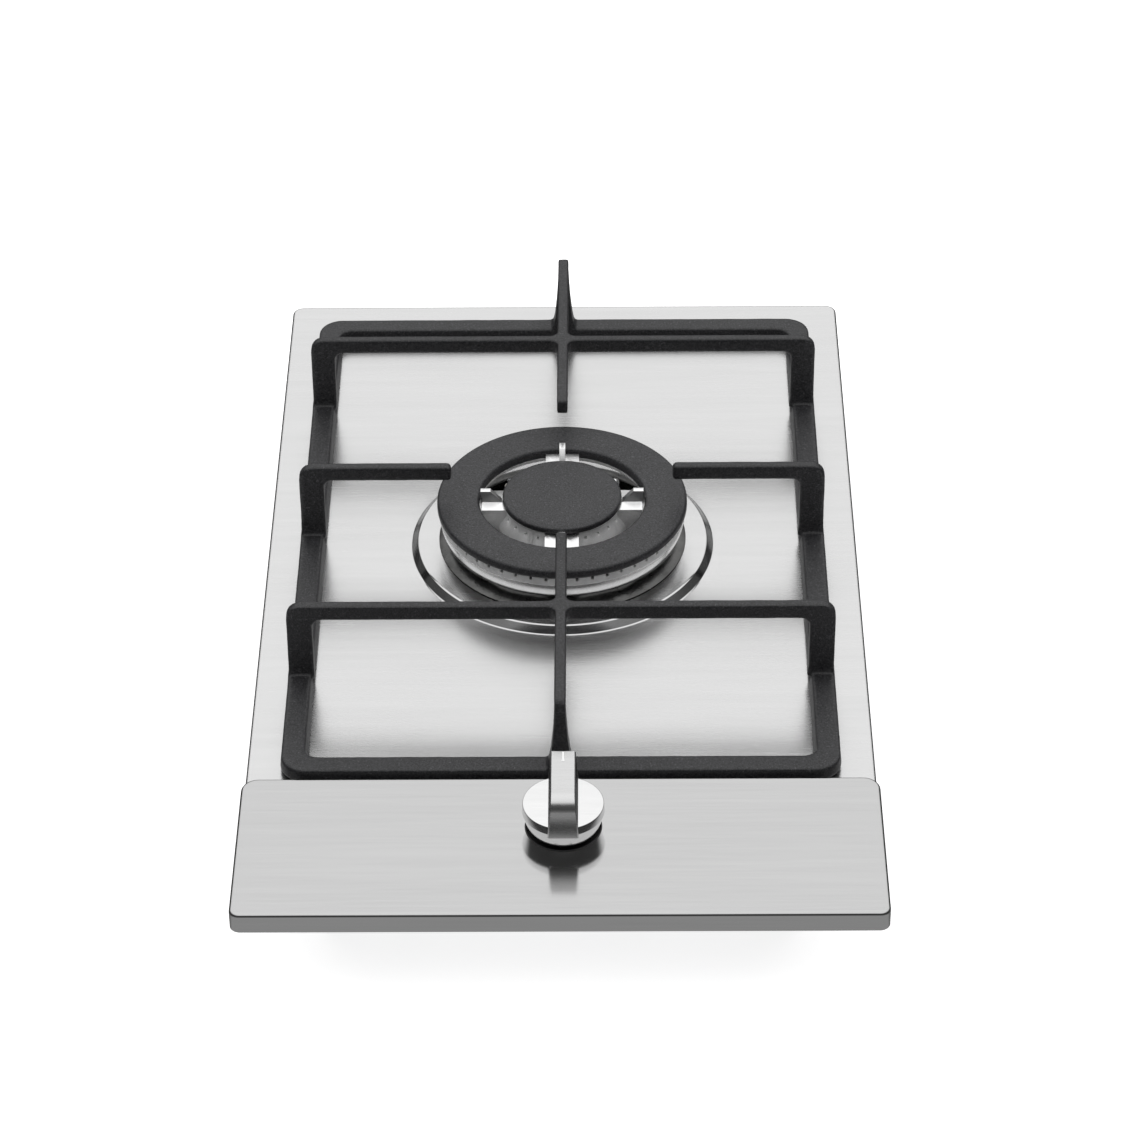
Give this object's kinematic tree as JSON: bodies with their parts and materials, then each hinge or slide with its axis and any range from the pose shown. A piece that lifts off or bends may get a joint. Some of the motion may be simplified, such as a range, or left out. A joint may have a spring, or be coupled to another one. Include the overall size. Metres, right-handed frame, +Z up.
{
  "type": "gas hob",
  "caption": "Built-in narrow gas hob: steel plate with a raised control panel, a ring burner with two caps, a cast pan support and a push-and-turn knob.",
  "frame": {"origin": "centre of the footprint, on the underside of the bottom case", "axes": "+Y to the hob's rear, +X to its right as seen from the front, +Z up; the worktop's top face lies at z = 0.045"},
  "size_m": [0.3, 0.51, 0.098],
  "materials": {
    "stainless_plate": "brushed",
    "galvanised_steel": "satin",
    "zinc_fasteners": "satin",
    "seal_foam": "matte",
    "cast_iron_enamel": "matte enamel",
    "black_rubber": "matte",
    "cast_aluminium": "cast",
    "bright_aluminium": "turned and blasted",
    "cap_enamel": "matte enamel",
    "brass_fittings": "machined",
    "tap_casting": "cast",
    "pipe_aluminium": "drawn",
    "rail_steel": "satin",
    "electrode_ceramic": "glazed",
    "copper": "drawn",
    "knob_metal": "satin",
    "black_plastic": "matte",
    "red_plastic": "matte",
    "lead_silicone": "matte",
    "wire_insulation": "satin",
    "terminal_plastic": "satin"
  },
  "bodies": {
    "hob": {"top_plate": "stainless_plate", "front_panel": "stainless_plate", "worktop_seal": "seal_foam", "bottom_case": "galvanised_steel", "plate_studs": "zinc_fasteners", "case_nuts": "zinc_fasteners", "burner_cup": "cast_aluminium", "burner_gasket": "seal_foam", "burner_bridge": "galvanised_steel", "burner_screws": "zinc_fasteners", "injector_holder": "brass_fittings", "injector": "brass_fittings", "burner_pipe": "pipe_aluminium", "pipe_nuts": "brass_fittings", "spark_electrode": "electrode_ceramic", "electrode_tip": "rail_steel", "thermocouple": "copper", "thermocouple_lead": "copper", "magnet_unit": "rail_steel", "tap_body": "tap_casting", "tap_cover": "tap_casting", "tap_screws": "zinc_fasteners", "spindle_grommet": "black_rubber", "knob_bezel": "black_plastic", "switch_body": "black_plastic", "gas_rail": "rail_steel", "rail_saddle": "tap_casting", "rail_brackets": "galvanised_steel", "inlet_fitting": "brass_fittings", "inlet_nut": "brass_fittings", "igniter": "black_plastic", "igniter_lead": "lead_silicone", "wiring": "wire_insulation", "terminal_block": "terminal_plastic", "cable_gland": "black_plastic", "clamp_brackets": "galvanised_steel", "case_screws": "zinc_fasteners"},
    "pan_support": {"pan_support": "cast_iron_enamel", "support_feet": "black_rubber"},
    "crown": {"burner_crown": "bright_aluminium"},
    "outer_cap": {"outer_cap": "cap_enamel"},
    "inner_cap": {"inner_cap": "cap_enamel"},
    "tap_plug": {"tap_plug": "brass_fittings", "spindle_spring": "rail_steel"},
    "spindle": {"spindle": "rail_steel", "spindle_disc": "rail_steel"},
    "knob": {"knob_hub": "black_plastic", "knob_disc": "knob_metal", "knob_grip": "knob_metal", "knob_clip": "rail_steel"},
    "switch_plunger": {"switch_plunger": "red_plastic"},
    "clamp_screw_front_left": {"clamp_screw_front_left": "zinc_fasteners"},
    "clamp_arm_front_left": {"clamp_arm_front_left": "galvanised_steel"},
    "clamp_screw_front_right": {"clamp_screw_front_right": "zinc_fasteners"},
    "clamp_arm_front_right": {"clamp_arm_front_right": "galvanised_steel"},
    "clamp_screw_rear_left": {"clamp_screw_rear_left": "zinc_fasteners"},
    "clamp_arm_rear_left": {"clamp_arm_rear_left": "galvanised_steel"},
    "clamp_screw_rear_right": {"clamp_screw_rear_right": "zinc_fasteners"},
    "clamp_arm_rear_right": {"clamp_arm_rear_right": "galvanised_steel"}
  },
  "joints": [
    {"name": "pan_support_lift", "type": "slide", "parent": "hob", "child": "pan_support", "axis": [0, 0, 1], "range_m": [0, 0.1]},
    {"name": "crown_lift", "type": "slide", "parent": "hob", "child": "crown", "axis": [0, 0, 1], "range_m": [0, 0.005]},
    {"name": "outer_cap_lift", "type": "slide", "parent": "crown", "child": "outer_cap", "axis": [0, 0, 1], "range_m": [0, 0.006]},
    {"name": "inner_cap_lift", "type": "slide", "parent": "crown", "child": "inner_cap", "axis": [0, 0, 1], "range_m": [0, 0.05]},
    {"name": "knob_turn", "type": "hinge", "parent": "hob", "child": "tap_plug", "pos_m": [0.0015, -0.1935, 0.065], "axis": [0, 0, 1], "range_deg": [0, 210]},
    {"name": "knob_push", "type": "slide", "parent": "tap_plug", "child": "spindle", "axis": [0, 0, -1], "range_m": [0, 0.0025], "stiffness_N_per_m": 1500, "springref_m": -0.003, "deforming": ["spindle_spring"]},
    {"name": "knob_pull_off", "type": "slide", "parent": "spindle", "child": "knob", "axis": [0, 0, 1], "range_m": [0, 0.02]},
    {"name": "switch_press", "type": "slide", "parent": "hob", "child": "switch_plunger", "axis": [0, 0, -1], "range_m": [0, 0.0025]},
    {"name": "clamp_turn_front_left", "type": "hinge", "parent": "hob", "child": "clamp_screw_front_left", "pos_m": [-0.124, -0.12, 0.02], "axis": [0, 0, 1], "range_deg": [0, 90]},
    {"name": "clamp_rise_front_left", "type": "slide", "parent": "clamp_screw_front_left", "child": "clamp_arm_front_left", "axis": [0, 0, 1], "range_m": [0, 0.02]},
    {"name": "clamp_turn_front_right", "type": "hinge", "parent": "hob", "child": "clamp_screw_front_right", "pos_m": [0.124, -0.12, 0.02], "axis": [0, 0, 1], "range_deg": [0, 90]},
    {"name": "clamp_rise_front_right", "type": "slide", "parent": "clamp_screw_front_right", "child": "clamp_arm_front_right", "axis": [0, 0, 1], "range_m": [0, 0.02]},
    {"name": "clamp_turn_rear_left", "type": "hinge", "parent": "hob", "child": "clamp_screw_rear_left", "pos_m": [-0.124, 0.15, 0.02], "axis": [0, 0, 1], "range_deg": [0, 90]},
    {"name": "clamp_rise_rear_left", "type": "slide", "parent": "clamp_screw_rear_left", "child": "clamp_arm_rear_left", "axis": [0, 0, 1], "range_m": [0, 0.02]},
    {"name": "clamp_turn_rear_right", "type": "hinge", "parent": "hob", "child": "clamp_screw_rear_right", "pos_m": [0.124, 0.15, 0.02], "axis": [0, 0, 1], "range_deg": [0, 90]},
    {"name": "clamp_rise_rear_right", "type": "slide", "parent": "clamp_screw_rear_right", "child": "clamp_arm_rear_right", "axis": [0, 0, 1], "range_m": [0, 0.02]}
  ],
  "couplings": [
    {"joint": "switch_press", "follows": "knob_push", "ratio": 1}
  ]
}
